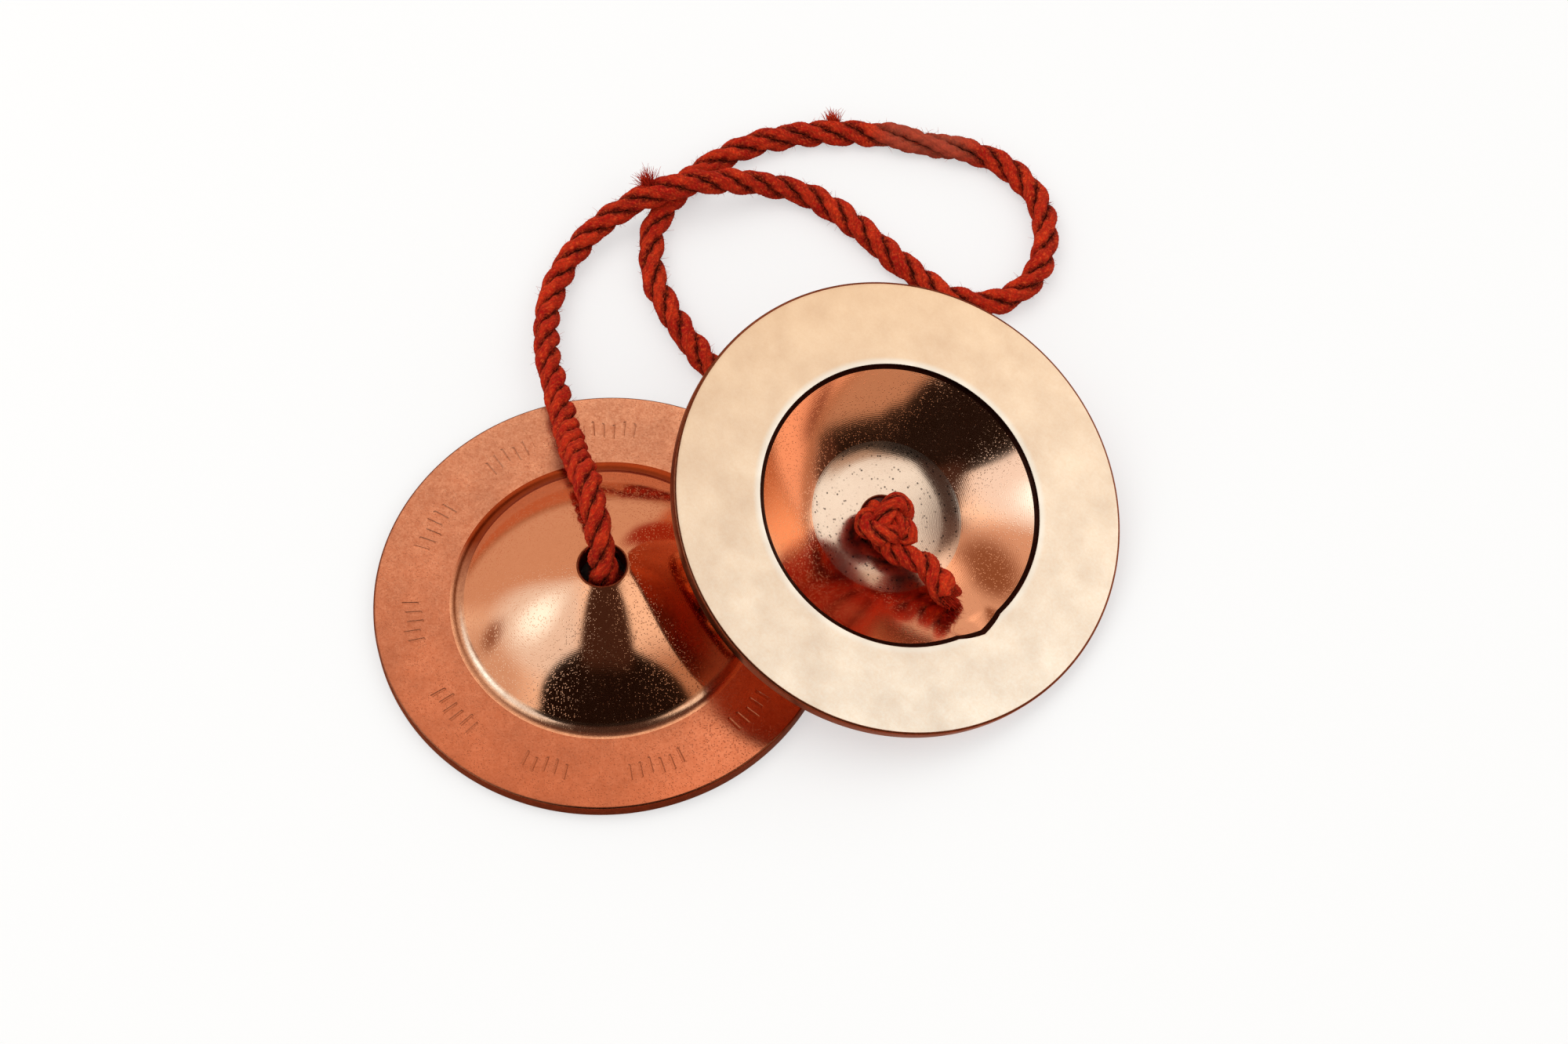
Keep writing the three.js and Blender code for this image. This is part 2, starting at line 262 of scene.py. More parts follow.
def meshObject(name, verts, faces, materials, faceMaterial=None, attributes=None):
    mesh = bpy.data.meshes.new(name)
    mesh.from_pydata((np.asarray(verts) * mm).tolist(), [], faces)
    for material in materials:
        mesh.materials.append(material)
    if faceMaterial is not None:
        mesh.polygons.foreach_set("material_index", np.asarray(faceMaterial, dtype=np.int32))
    mesh.polygons.foreach_set("use_smooth", [True] * len(mesh.polygons))
    for key, values in (attributes or {}).items():
        values = np.asarray(values, dtype=np.float32)
        kind = "FLOAT_VECTOR" if values.ndim == 2 else "FLOAT"
        layer = mesh.attributes.new(key, kind, "POINT")
        layer.data.foreach_set("vector" if values.ndim == 2 else "value", values.ravel())
    mesh.update()
    piece = bpy.data.objects.new(name, mesh)
    bpy.context.scene.collection.objects.link(piece)
    return piece


def smoothLine(points, spacing):  # centripetal curve through the points, evenly sampled
    p = np.asarray(points, dtype=float)
    p = np.vstack([2 * p[0] - p[1], p, 2 * p[-1] - p[-2]])
    samples = []
    for i in range(1, len(p) - 2):
        d = [max(np.linalg.norm(p[i + k] - p[i + k - 1]) ** 0.5, 1e-6) for k in range(3)]
        before, span, after = p[i] - p[i - 1], p[i + 1] - p[i], p[i + 2] - p[i + 1]
        a = before / d[0] - (p[i + 1] - p[i - 1]) / (d[0] + d[1]) + span / d[1]
        b = span / d[1] - (p[i + 2] - p[i]) / (d[1] + d[2]) + after / d[2]
        a, b = a * d[1], b * d[1]
        t = np.linspace(0, 1, 60, endpoint=False)[:, None]
        samples.append(p[i] + a * t + (3 * span - 2 * a - b) * t**2 + (-2 * span + a + b) * t**3)
    samples = np.vstack(samples + [p[-2][None]])
    run = np.concatenate([[0], np.cumsum(np.linalg.norm(np.diff(samples, axis=0), axis=1))])
    count = max(int(round(run[-1] / spacing)), 2)
    at = np.linspace(0, run[-1], count + 1)
    return np.stack([np.interp(at, run, samples[:, k]) for k in range(3)], axis=1), at


def framesAlong(line):  # tangents and two side directions that do not twist
    tangents = np.gradient(line, axis=0)
    tangents /= np.linalg.norm(tangents, axis=1)[:, None]
    side = unit(np.cross(tangents[0], [0.31, 0.17, 0.93]))
    sides = [side]
    for k in range(1, len(line)):
        side = side - tangents[k] * side.dot(tangents[k])
        side = unit(side)
        sides.append(side)
    sides = np.array(sides)
    return tangents, sides, np.cross(tangents, sides)


cord = {
    "diameter": 3.7,
    "lay": 14.0,  # one strand's full turn, as counted on the bumps in the photo
    "startLay": 10.2,  # laid up harder where it climbs out of the left cymbal
    "startLayEases": (45.0, 70.0),
    "bulk": 0.06,  # fuller by this share on the same stretch
    "bulkBetween": (12.0, 52.0),
    "strandShare": 0.47,  # strand radius as a share of the rope's
    "offsetShare": 0.56,  # strand centre from the rope's middle, as a share of its radius
    "phase": 0.6,
    "sides": 22,
    "yarns": 3,
    "yarnTurn": 5.2,  # length of one turn of a yarn in its strand, against the lay
    "yarnDepth": 0.36,
    "unevenEvery": 1.7,  # hand spinning leaves thick and thin places
    "uneven": 0.07,
    "unevenOffset": 0.04,
    "spacing": 0.42,
    "worn": (178.0, 192.0),  # slack, rubbed part at the top of the loop
    "wornSlack": 1.1,
    "wornTint": 0.6,
    "fuzz": 4800,
    "hair": (0.036, 0.7),  # thickness and curl
    "tuftHair": (0.07, 0.55),
    "lowHair": 1.6,  # hairs that start lower than this turn up from the table
    "tableLevel": 0.02,
    "ropeSeed": 11,
    "hairSeed": 5,
    "tufts": [  # name, distance along the cord, direction, fibres and length
        ("crossing_tuft", 83.0, (-0.3, 0.7, 0.6), 150, 2.7),
        ("loop_tuft", 199.0, (-0.1, 0.9, 0.5), 130, 2.2),
    ],
}

cordRoute = [
    (-19.55, -4.76, 7.12),
    (-19.71, -4.20, 10.04),
    (-20.11, -1.86, 13.78),
    (-20.82, 1.85, 15.87),
    (-21.74, 5.28, 16.07),
    (-22.45, 7.88, 15.12),
    (-24.34, 13.93, 11.00),
    (-26.04, 21.33, 6.60),
    (-27.64, 27.53, 5.00),
    (-29.14, 34.13, 4.30),
    (-29.64, 41.63, 2.90),
    (-28.14, 49.53, 2.20),
    (-24.14, 56.23, 2.70),
    (-18.74, 60.23, 4.30),
    (-12.94, 62.13, 6.10),
    (-7.84, 63.63, 6.10),
    (3.76, 65.33, 2.70),
    (11.06, 62.73, 1.95),
    (23.46, 50.93, 1.95),
    (29.56, 45.83, 1.95),
    (36.46, 45.03, 1.95),
    (41.76, 48.83, 1.95),
    (44.16, 55.73, 1.95),
    (42.76, 64.23, 1.95),
    (37.26, 70.43, 1.95),
    (28.76, 73.23, 1.95),
    (15.56, 75.73, 1.95),
    (2.56, 74.33, 1.95),
    (-5.44, 70.13, 1.95),
    (-11.54, 63.93, 1.95),
    (-14.54, 56.83, 1.95),
    (-14.04, 49.23, 1.95),
    (-10.14, 40.53, 1.95),
    (-3.44, 31.33, 1.95),
    (7.06, 22.13, 1.95),
    (11.76, 14.08, 2.20),
    (15.82, 9.44, 1.74),
    (17.68, 7.33, 2.87),
    (19.01, 5.80, 4.91),
    (19.81, 5.16, 6.71),
]


def ringFaces(base, rings, sides):  # quads between neighbouring rings of vertices
    faces = []
    for k in range(rings - 1):
        a, b = base + k * sides, base + (k + 1) * sides
        for j in range(sides):
            m = (j + 1) % sides
            faces.append((a + j, a + m, b + m, b + j))
    return faces


def ropeMesh(line, run, radius, lay, phase, sides, seed):
    # Three strands laid up to the right, each with its yarns showing as ridges.
    _, first, second = framesAlong(line)
    radius = np.broadcast_to(radius, len(line))
    lay = np.broadcast_to(lay, len(line))
    turn = phase + np.concatenate([[0], np.cumsum(np.diff(run) * 2 * math.pi / lay[1:])])
    verts, faces, around, proud = [], [], [], []
    angles = np.arange(sides) / sides * 2 * math.pi
    wobble = np.random.default_rng(seed)
    unevenAt = np.arange(0, run[-1] + 6, cord["unevenEvery"])
    # A little egg-shaped, as strands pressed together are
    shape = 1 + 0.06 * np.cos(angles[None, :]) - 0.05 * np.cos(2 * angles[None, :])
    for strand in range(3):
        angle = turn + strand * 2 * math.pi / 3
        outward = np.cos(angle)[:, None] * first + np.sin(angle)[:, None] * second
        slow = np.interp(run, unevenAt, np.clip(wobble.normal(0, 1, len(unevenAt)), -1.8, 1.8))
        offset = radius * cord["offsetShare"] * (1 + cord["unevenOffset"] * slow)
        centre = line + outward * offset[:, None]
        along = np.gradient(centre, axis=0)
        along /= np.linalg.norm(along, axis=1)[:, None]
        up = outward - along * np.sum(outward * along, axis=1)[:, None]
        up /= np.linalg.norm(up, axis=1)[:, None]
        over = np.cross(along, up)
        yarn = cord["yarns"] * (angles[None, :] + (run * 2 * math.pi / cord["yarnTurn"])[:, None])
        ridge = 1 + cord["yarnDepth"] * (np.abs(np.cos(yarn / 2)) - 0.6)
        thick = radius * cord["strandShare"] * (1 + cord["uneven"] * slow)
        reach = thick[:, None] * ridge * shape
        ring = (
            centre[:, None, :]
            + up[:, None, :] * (reach * np.cos(angles))[:, :, None]
            + over[:, None, :] * (reach * np.sin(angles))[:, :, None]
        )
        base = sum(len(v) for v in verts)
        verts.append(ring.reshape(-1, 3))
        away = np.linalg.norm(ring - line[:, None, :], axis=2) / radius[:, None]
        proud.append(away.ravel())
        share = np.broadcast_to(angles[None, :] / (2 * math.pi), reach.shape)
        distance = np.broadcast_to(run[:, None], reach.shape)
        which = np.full(reach.shape, strand)
        around.append(np.stack([share, distance, which], axis=2).reshape(-1, 3))
        faces.extend(ringFaces(base, len(line), sides))
        faces.append(tuple(base + j for j in reversed(range(sides))))
        last = base + (len(line) - 1) * sides
        faces.append(tuple(last + j for j in range(sides)))
    return np.vstack(verts), faces, np.vstack(around), np.concatenate(proud)


def fibres(starts, directions, lengths, thickness, curl, rng):
    # Fine three-sided hairs that bend as they leave the yarn.
    verts, faces = [], []
    steps = 4
    for start, direction, length in zip(starts, directions, lengths):
        direction = unit(direction)
        bend = unit(rng.normal(0, 1, 3)) * curl
        side = unit(np.cross(direction, rng.normal(0, 1, 3)))
        base = len(verts)
        point = np.array(start, dtype=float)
        for k in range(steps):
            other = unit(np.cross(direction, side))
            size = thickness * (1 - 0.75 * k / (steps - 1))
            for j in range(3):
                a = j * 2 * math.pi / 3
                verts.append(point + size * (math.cos(a) * side + math.sin(a) * other))
            direction = unit(direction + bend * 0.35)
            side = unit(side - direction * side.dot(direction))
            point = point + direction * length / (steps - 1)
        faces.extend(ringFaces(base, steps, 3))
        faces.append((base + 2, base + 1, base))
        faces.append(tuple(base + 3 * (steps - 1) + j for j in range(3)))
    return np.array(verts), faces


def fuzzOn(line, radius, count, rng, spread=(0.5, 1.7)):
    tangents, first, second = framesAlong(line)
    radius = np.broadcast_to(radius, len(line))
    picks = rng.integers(1, len(line) - 1, count)
    angles = rng.uniform(0, 2 * math.pi, count)
    starts, directions = [], []
    for k, angle in zip(picks, angles):
        outward = math.cos(angle) * first[k] + math.sin(angle) * second[k]
        starts.append(line[k] + outward * radius[k] * 0.8)
        direction = outward * rng.uniform(0.2, 0.9) + tangents[k] * rng.normal(0, 0.9)
        direction = direction + rng.normal(0, 0.3, 3)
        if starts[-1][2] < cord["lowHair"]:
            direction[2] = abs(direction[2]) + 0.3
        directions.append(direction)
    lengths = rng.uniform(*spread, count) * rng.uniform(0.6, 1.0, count)
    return fibres(starts, directions, lengths, *cord["hair"], rng)


def tuft(point, direction, count, length, rng, width=0.5):
    starts = [np.array(point) + rng.normal(0, width, 3) for _ in range(count)]
    directions = [unit(np.array(direction)) + rng.normal(0, 0.32, 3) for _ in range(count)]
    lengths = rng.uniform(0.55, 1.0, count) * length
    return fibres(starts, directions, lengths, *cord["tuftHair"], rng)


def cottonPiece(name, parts, worn=None):
    # One object from parts of verts, faces and, for rope, its pattern and how proud it stands
    verts, faces, pattern, proud = [], [], [], []
    for v, f, *rope in parts:
        base = sum(len(x) for x in verts)
        verts.append(np.asarray(v))
        faces.extend(tuple(i + base for i in face) for face in f)
        pattern.append(rope[0] if rope else np.zeros((len(v), 3)))
        proud.append(rope[1] if rope else np.full(len(v), 1.05))
    verts = np.vstack(verts)
    verts[:, 2] = np.maximum(verts[:, 2], cord["tableLevel"])  # pressed flat where it lies on the table
    rubbed = np.zeros(len(verts))
    if worn is not None:
        rubbed[: len(worn)] = worn
    attributes = {"lay": np.vstack(pattern), "proud": np.concatenate(proud), "worn": rubbed}
    return meshObject(name, verts, faces, [cotton], attributes=attributes)


yarnDyesAndShade = {
    # painted shade down in the lay, between the strands
    "layShade": ("#2f0302", "#5a0804"),
    "crest": ("#bc120a", "#ea3a16"),
    "streak": "#f2602c",
    "fleck": "#8c1810",
    "worn": "#b5573f",
    "sheen": "#ff9a72",
    "streakScale": (6.0, 0.8, 3.0),  # round the strand, along it in mm, from strand to strand
    "blotchScale": 340.0,  # per metre, so patches about 3 mm across
    "fleckScale": 2600.0,  # single fibres, drawn as coarse as they need to show
    "bumpDepth": 0.00018,
}


def cottonMaterial():
    # Dyed cotton, spun and laid up by hand: matt and hairy, with painted shade that darkens it down in the
    # lay, and lighter orange where the yarns stand proud.
    dyesAndShade = yarnDyesAndShade
    material, add = newMaterial("laid red cotton")
    pattern = add("Attribute", {"attribute_name": "lay"})["Vector"]
    proud = add("Attribute", {"attribute_name": "proud"})["Fac"]
    worn = add("Attribute", {"attribute_name": "worn"})["Fac"]
    place = add("TexCoord")["Object"]
    slant = {"Scale": dyesAndShade["streakScale"], "Rotation": (0.0, 0.0, 0.16)}
    along = add("Mapping", {**slant, 0: pattern})[0]
    noise = {"Scale": 3.0, "Detail": 4.0, "Roughness": 0.65}
    streak = add("TexNoise", {**noise, "Vector": along})["Fac"]
    noise = {"Scale": dyesAndShade["blotchScale"], "Detail": 3.0, "Roughness": 0.6}
    blotch = add("TexNoise", {**noise, "Vector": place})["Fac"]
    noise = {"Scale": dyesAndShade["fleckScale"], "Detail": 2.0, "Roughness": 0.7}
    speck = add("TexNoise", {**noise, "Vector": place})["Fac"]
    # painted shade: darker the lower a yarn lies in the lay, the crest tone where it stands proud
    height = add("MapRange", {**smooth, "Value": proud, "From Min": 0.72, "From Max": 1.04})[0]
    first, second = (linearColour(c) for c in dyesAndShade["layShade"])
    layShade = add("Mix", {**blend, 0: blotch, 6: first, 7: second})[2]
    ramp = add("MapRange", {"Value": blotch, "From Min": 0.36, "From Max": 0.64})[0]
    first, second = (linearColour(c) for c in dyesAndShade["crest"])
    crest = add("Mix", {**blend, 0: ramp, 6: first, 7: second})[2]
    colour = add("Mix", {**blend, 0: height, 6: layShade, 7: crest})[2]
    bright = add("MapRange", {"Value": streak, "From Min": 0.48, "From Max": 0.7})[0]
    colour = add("Mix", {**blend, 0: bright, 6: colour, 7: linearColour(dyesAndShade["streak"])})[2]
    fleck = add("MapRange", {"Value": speck, "From Min": 0.6, "From Max": 0.5})[0]
    darker = add("Math", {"operation": "MULTIPLY", 0: fleck, 1: 0.4})[0]
    colour = add("Mix", {**blend, 0: darker, 6: colour, 7: linearColour(dyesAndShade["fleck"])})[2]
    colour = add("Mix", {**blend, 0: worn, 6: colour, 7: linearColour(dyesAndShade["worn"])})[2]
    joined = add("Math", {"operation": "ADD", 0: streak, 1: speck})[0]
    bump = add("Bump", {"Strength": 0.8, "Distance": dyesAndShade["bumpDepth"], "Height": joined})[0]
    cloth = {
        "Roughness": 0.88,
        "Specular IOR Level": 0.12,
        "Sheen Weight": 0.05,
        "Sheen Roughness": 0.5,
        "Sheen Tint": linearColour(dyesAndShade["sheen"]),
    }
    add("OutputMaterial", {0: add("BsdfPrincipled", {**cloth, "Base Color": colour, "Normal": bump})[0]})
    return material


cotton = cottonMaterial()
ropeRadius = cord["diameter"] / 2


def buildCord():
    line, run = smoothLine(cordRoute, cord["spacing"])
    wornFrom, wornTo = cord["worn"]
    worn = np.clip(np.minimum(run - wornFrom + 2, wornTo + 2 - run) / 4, 0, 1)
    startLay = cord["startLay"]
    easeFrom, easeTo = cord["startLayEases"]
    lay = np.interp(run, [0, easeFrom, easeTo], [startLay, startLay, cord["lay"]])
    lay = lay * (1 + cord["wornSlack"] * worn)
    bulkFrom, bulkTo = cord["bulkBetween"]
    bulk = cord["bulk"] * np.clip((bulkTo - run) / 12, 0, 1) * np.clip((run - bulkFrom) / 6, 0, 1)
    radius = ropeRadius * (1 + bulk)
    strands = ropeMesh(line, run, radius, lay, cord["phase"], cord["sides"], cord["ropeSeed"])
    wornOn = np.tile(np.repeat(worn, cord["sides"]), 3) * cord["wornTint"]
    rng = np.random.default_rng(cord["hairSeed"])
    rope = cottonPiece("cord_rope", [strands, fuzzOn(line, radius, cord["fuzz"], rng)], wornOn)
    tufts = []
    for name, at, direction, count, size in cord["tufts"]:
        k = int(np.argmin(np.abs(run - at)))
        point = line[k] + unit(np.array(direction)) * ropeRadius * 0.7
        piece = cottonPiece(name, [tuft(point, direction, count, size, rng)])
        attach(piece, "cord")
        tufts.append(piece)
    return rope, line, run[-1], tufts


cordRope, cordLine, cordLength, frayTufts = buildCord()
print("cord laid up, mm:", round(cordLength, 1))


knot = {
    "ropeDiameter": 2.9,  # pulled tight, so thinner than the free cord
    "lobe": 1.22,  # scale of the three lobes
    "rise": 1.05,  # half the height that the crossings climb
    "lay": 9.0,
    "phase": 1.1,
    "sides": 16,
    "spacing": 0.32,
    "boreFill": (6.0, 0.78),  # length and share of the swelling that fills the bore
    "opened": (16.0, 0.3),  # the same towards the cut end, where the lay opens
    "lastBulge": (1.6, 1.3, 0.2),  # distance from the cut, width and share
    "fuzz": (420, (0.4, 1.3)),  # hairs and their lengths
    "cutFibres": (160, 1.9, 0.55),  # count, length and spread
    "right": {  # in the right face's frame: downhill, across, out of the cup
        "centre": (1.1, -1.5, -5.0),
        "turn": 1.05,
        "spin": -50,
        "entry": [(-0.35, 0.1, -8.1), (-0.1, 0.0, -7.2)],
        "tail": [(8.2, -2.9, -3.8), (10.9, -3.9, -3.1), (13.4, -4.8, -2.3)],
    },
    "left": {
        "centre": (0.5, 1.0, -3.5),
        "turn": 0.9,
        "spin": 0,
        "entry": [(0.2, 0.6, -7.7), (0.3, 0.8, -6.4)],
        "tail": [(4.6, 4.2, -3.4), (8.0, 6.3, -2.7), (11.2, 8.2, -2.2)],
    },
}


def knotPath(way):
    # An overhand knot: three lobes, one of them opened into the entry and the tail.
    centre, spin = way["centre"], math.radians(way["spin"])
    points = list(way["entry"])
    steps = 13
    for k in range(steps + 1):
        t = way["turn"] + 2 * math.pi * (0.07 + 0.86 * k / steps)
        x = knot["lobe"] * (math.sin(t) + 2 * math.sin(2 * t))
        y = knot["lobe"] * (math.cos(t) - 2 * math.cos(2 * t))
        x, y = x * math.cos(spin) - y * math.sin(spin), x * math.sin(spin) + y * math.cos(spin)
        z = -knot["rise"] * math.sin(3 * t)
        points.append((centre[0] + x, centre[1] + y, centre[2] + z))
    return points + way["tail"]


def buildKnot(name, way, origin, axes, body, nodes, seed):
    points = [origin + sum(c * axis for c, axis in zip(p, axes)) for p in knotPath(way)]
    line, run = smoothLine(points, knot["spacing"])
    length, fill = knot["boreFill"]
    start = np.clip(1 - run / length, 0, 1)
    fromEnd = run[-1] - run
    length, share = knot["opened"]
    opened = np.clip(1 - fromEnd / length, 0, 1) * share
    at, width, share = knot["lastBulge"]
    spread = opened + np.exp(-(((fromEnd - at) / width) ** 2)) * share
    radius = knot["ropeDiameter"] / 2 * (1 + fill * start + spread)
    strands = ropeMesh(line, run, radius, knot["lay"], knot["phase"], knot["sides"], seed)
    rng = np.random.default_rng(seed)
    hairs, lengths = knot["fuzz"]
    hair = fuzzOn(line, radius, hairs, rng, lengths)
    along = unit(line[-1] - line[-6])
    fibreCount, length, width = knot["cutFibres"]
    cutEnd = tuft(line[-1] - along * 0.4, along, fibreCount, length, rng, width)
    piece = cottonPiece(name, [strands, hair, cutEnd])
    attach(piece, body)
    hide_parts(*nodes)
    return piece


rightAxes = (downhill, across, cupAxis)
leftAxes = (xAxis, -yAxis, -zAxis)
rightKnot = buildKnot(
    "right_stopper_knot",
    knot["right"],
    rightCentre,
    rightAxes,
    "right_carrier",
    ("right_knot", "right_cord_end"),
    21,
)
leftKnot = buildKnot(
    "left_stopper_knot",
    knot["left"],
    leftCentre,
    leftAxes,
    "cord",
    ("left_knot", "left_cord_end"),
    33,
)

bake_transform(cordRope)
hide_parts("cord", "right_lead")
print("knots tied")


cymbal = {
    "rimRadius": 32.5,
    "rimEdgeThickness": 2.2,
    "rimRootThickness": 1.7,
    "rimEdgeRound": 0.35,
    "openingRadius": 20.2,
    "lipRound": 0.25,
    "lipBand": 0.5,  # width of the near-black band just inside the lip
    "domeRise": 9.7,
    "domeCurveRadius": 50.0,
    "wallThickness": 1.6,
    "cupFloorRadius": 9.7,
    "cupFloorCurveRadius": 50.0,
    "cupFloorFillet": 1.3,
    "creaseFillet": 1.2,
    "boreRadius": 3.2,
    "boreRound": 0.4,
    "steps": 240,
}


def domeArc():
    lip = np.array([cymbal["openingRadius"], 0.0])
    crown = np.array([cymbal["boreRadius"], cymbal["domeRise"]])
    chord = crown - lip
    inward = unit(np.array([-chord[1], chord[0]]))
    reach = math.sqrt(cymbal["domeCurveRadius"] ** 2 - (np.linalg.norm(chord) / 2) ** 2)
    return (lip + crown) / 2 + inward * reach


arcCentre = domeArc()


def arcHeight(radius, r):
    return arcCentre[1] + math.sqrt(radius**2 - (r - arcCentre[0]) ** 2)


def curveBetween(a, b, c, count):  # a quadratic curve from a to c, pulled towards b
    t = np.linspace(0, 1, count)[:, None]
    return list((1 - t) ** 2 * np.array(a) + 2 * t * (1 - t) * np.array(b) + t**2 * np.array(c))


def castingProfile():
    # Radius and height of the turned section, playing face at 0, with the zone of each
    # stretch: face, cup, edge, rim top, dome or bore.
    c = cymbal
    inner, outer = c["domeCurveRadius"], c["domeCurveRadius"] + c["wallThickness"]
    root, opening, rim, bore = c["rimRootThickness"], c["openingRadius"], c["rimRadius"], c["boreRadius"]
    lip, edge, top, curl = c["lipRound"], c["rimEdgeRound"], c["rimEdgeThickness"], c["boreRound"]
    creaseRadius = arcCentre[0] + math.sqrt(outer**2 - (root - arcCentre[1]) ** 2)
    slope = (top - root) / (rim - creaseRadius)
    cupFloor, fillet = c["cupFloorRadius"], c["cupFloorFillet"]
    floorTop = arcHeight(inner, cupFloor) + cupFloor**2 / (2 * c["cupFloorCurveRadius"])

    def floorHeight(r):
        return floorTop - r**2 / (2 * c["cupFloorCurveRadius"])

    def onFloor(r):
        return (r, floorHeight(r))

    def onWall(r, radius=inner):
        return (r, arcHeight(radius, r))

    def onRim(r):
        return (r, root + slope * (r - creaseRadius))

    points, zones = [], []

    def extend(zone, more):
        for p in more:
            points.append((float(p[0]), float(p[1])))
            zones.append(zone)

    extend("face", [(r, 0.0) for r in np.linspace(opening + lip, rim - edge, 26)])
    extend("edge", curveBetween((rim - edge, 0), (rim, 0), (rim, edge), 6)[1:])
    extend("edge", curveBetween((rim, top - edge), (rim, top), (rim - edge, top), 6)[:-1])
    crease = creaseRadius + c["creaseFillet"]
    extend("rim", [onRim(r) for r in np.linspace(rim - edge, crease, 20)])
    domeStart = creaseRadius - c["creaseFillet"] * 0.7
    extend("crease", curveBetween(onRim(crease), (creaseRadius, root), onWall(domeStart, outer), 9)[1:])
    extend("dome", [onWall(r, outer) for r in np.linspace(domeStart, bore + curl, 46)[1:]])
    crown = arcHeight(outer, bore)
    extend("bore", curveBetween(onWall(bore + curl, outer), (bore, crown), (bore, crown - curl), 7)[1:])
    extend("bore", curveBetween((bore, floorHeight(bore) + curl), onFloor(bore), onFloor(bore + curl), 7))
    floorEdge, wallStart = cupFloor - fillet, cupFloor + fillet
    extend("cupFloor", [onFloor(r) for r in np.linspace(bore + curl, floorEdge, 14)[1:]])
    extend("cupFloor", curveBetween(onFloor(floorEdge), onFloor(cupFloor), onWall(wallStart), 12)[1:])
    bandStart = opening - c["lipBand"]
    extend("cup", [onWall(r) for r in np.linspace(wallStart, bandStart, 28)[1:]])
    extend("lip", [onWall(r) for r in np.linspace(bandStart, opening - lip, 4)[1:]])
    extend("lip", curveBetween(onWall(opening - lip), (opening, 0), (opening + lip, 0), 6)[1:-1])
    return points, zones


metal = {  # lengths in millimetres, scales per millimetre
    "cloudScale": 0.16,
    "blotchScale": 0.9,
    "poreScale": 5.0,
    "poreShare": 0.32,  # share of the cells that hold a pore
    "speckScale": 1.9,
    "speckShare": 0.65,
    "speckRings": 4.4,  # coarse turning marks that hold the dirt, radians per mm
    "ringPitch": 0.24,  # lathe feed
    "haloRadius": (21.5, 20.6),
    "rubbedFrom": (17.0, 25.0),  # towards the side where the pair rubs
}
marks = {  # plain punched strokes on the rim
    "strokes": 116.0,  # round the whole rim, if the groups left no gaps
    "groups": 11.0,
    "waver": 37.0,
    "sway": 0.35,
    "radius": 27.0,
    "half": (1.25, 1.05),  # half a stroke's length, to its end and to where it fades
    "tone": "#a8603c",
    "tint": 0.28,
}

# Colour and darker mottle, roughness, grain scale and depth, depth of the pores and of the
# turning rings, share of the mottle. A fade is a second colour, its direction and its reach.
finishes = {
    "face": {  # lapped flat on fine grit: pale, even, with a soft grain, worn bright at the lip
        "name": "lapped bell bronze",
        "tones": ("#ffe0bb", "#efc89c"),
        "roughness": 0.36,
        "grain": (2.4, 0.004),
        "depths": (0.002, 0.0006),
        "mottle": 0.2,
        "fade": ("#fff6e6", (0.75, -0.55, 0), 30.0),
        "halo": "#fff6e6",
    },
    "cup": {  # turned and buffed inside: coppery and mirror-like, with turning marks
        "name": "buffed bell bronze cup",
        "tones": ("#fbbf98", "#efab84"),
        "roughness": 0.115,
        "grain": (5.0, 0.0008),
        "depths": (0.008, 0.0005),
        "mottle": 0.2,
    },
    "rim": {  # cast skin rubbed down: rosy, satin and finely mottled, smoother on one side, with a painted reflection that pales it towards one side
        "name": "rubbed bell bronze rim",
        "tones": ("#d68763", "#bd6c47"),
        "roughness": 0.3,
        "grain": (3.2, 0.008),
        "depths": (0.01, 0.0004),
        "mottle": 0.5,
        # painted reflection: paler towards one side, the back on the left cymbal
        "fade": ("#ffc8a4", (0.2, -0.97, 0), 30.0),
        "markDepth": 0.03,
        "polish": ((0.87, 0.5, 0), 0.45),
    },
    "dome": {  # buffed: rosy, bright, with a little speckle left by the casting
        "name": "buffed bell bronze dome",
        "tones": ("#efae85", "#e09a70"),
        "roughness": 0.09,
        "grain": (5.0, 0.0014),
        "depths": (0.011, 0.0004),
        "mottle": 0.3,
    },
    "edge": {  # left from the lathe: duller and browner
        "name": "turned bell bronze edge",
        "tones": ("#9c5a3c", "#5f2c1a"),
        "roughness": 0.3,
        "grain": (4.0, 0.004),
        "depths": (0.0, 0.002),
        "mottle": 0.6,
    },
    "lip": {  # near-black in a narrow band just inside the lip
        "name": "dark band under the lip",
        "tones": ("#3a1a10", "#140806"),
        "roughness": 0.42,
        "grain": (4.0, 0.004),
        "depths": (0.0, 0.001),
        "mottle": 0.7,
    },
    "cupFloor": {  # end of the cup, pale, with black dirt in its pores
        "name": "pale bell bronze cup floor",
        "tones": ("#ecd3bc", "#dcbda6"),
        "roughness": 0.2,
        "grain": (5.0, 0.001),
        "depths": (0.004, 0.0008),
        "mottle": 0.25,
        "specks": "#1c0d0a",
    },
    "crease": {  # fillet between rim and dome: red-brown as a painted reflection of the dark at the back, paler in front as a painted highlight
        "name": "bell bronze crease",
        "tones": ("#9a421e", "#742c14"),
        "roughness": 0.16,
        "grain": (4.0, 0.002),
        "depths": (0.004, 0.0004),
        "mottle": 0.3,
        # painted highlight: paler towards the front
        "fade": ("#ffc8a0", (-0.15, 0.99, 0), 6.0),
    },
}


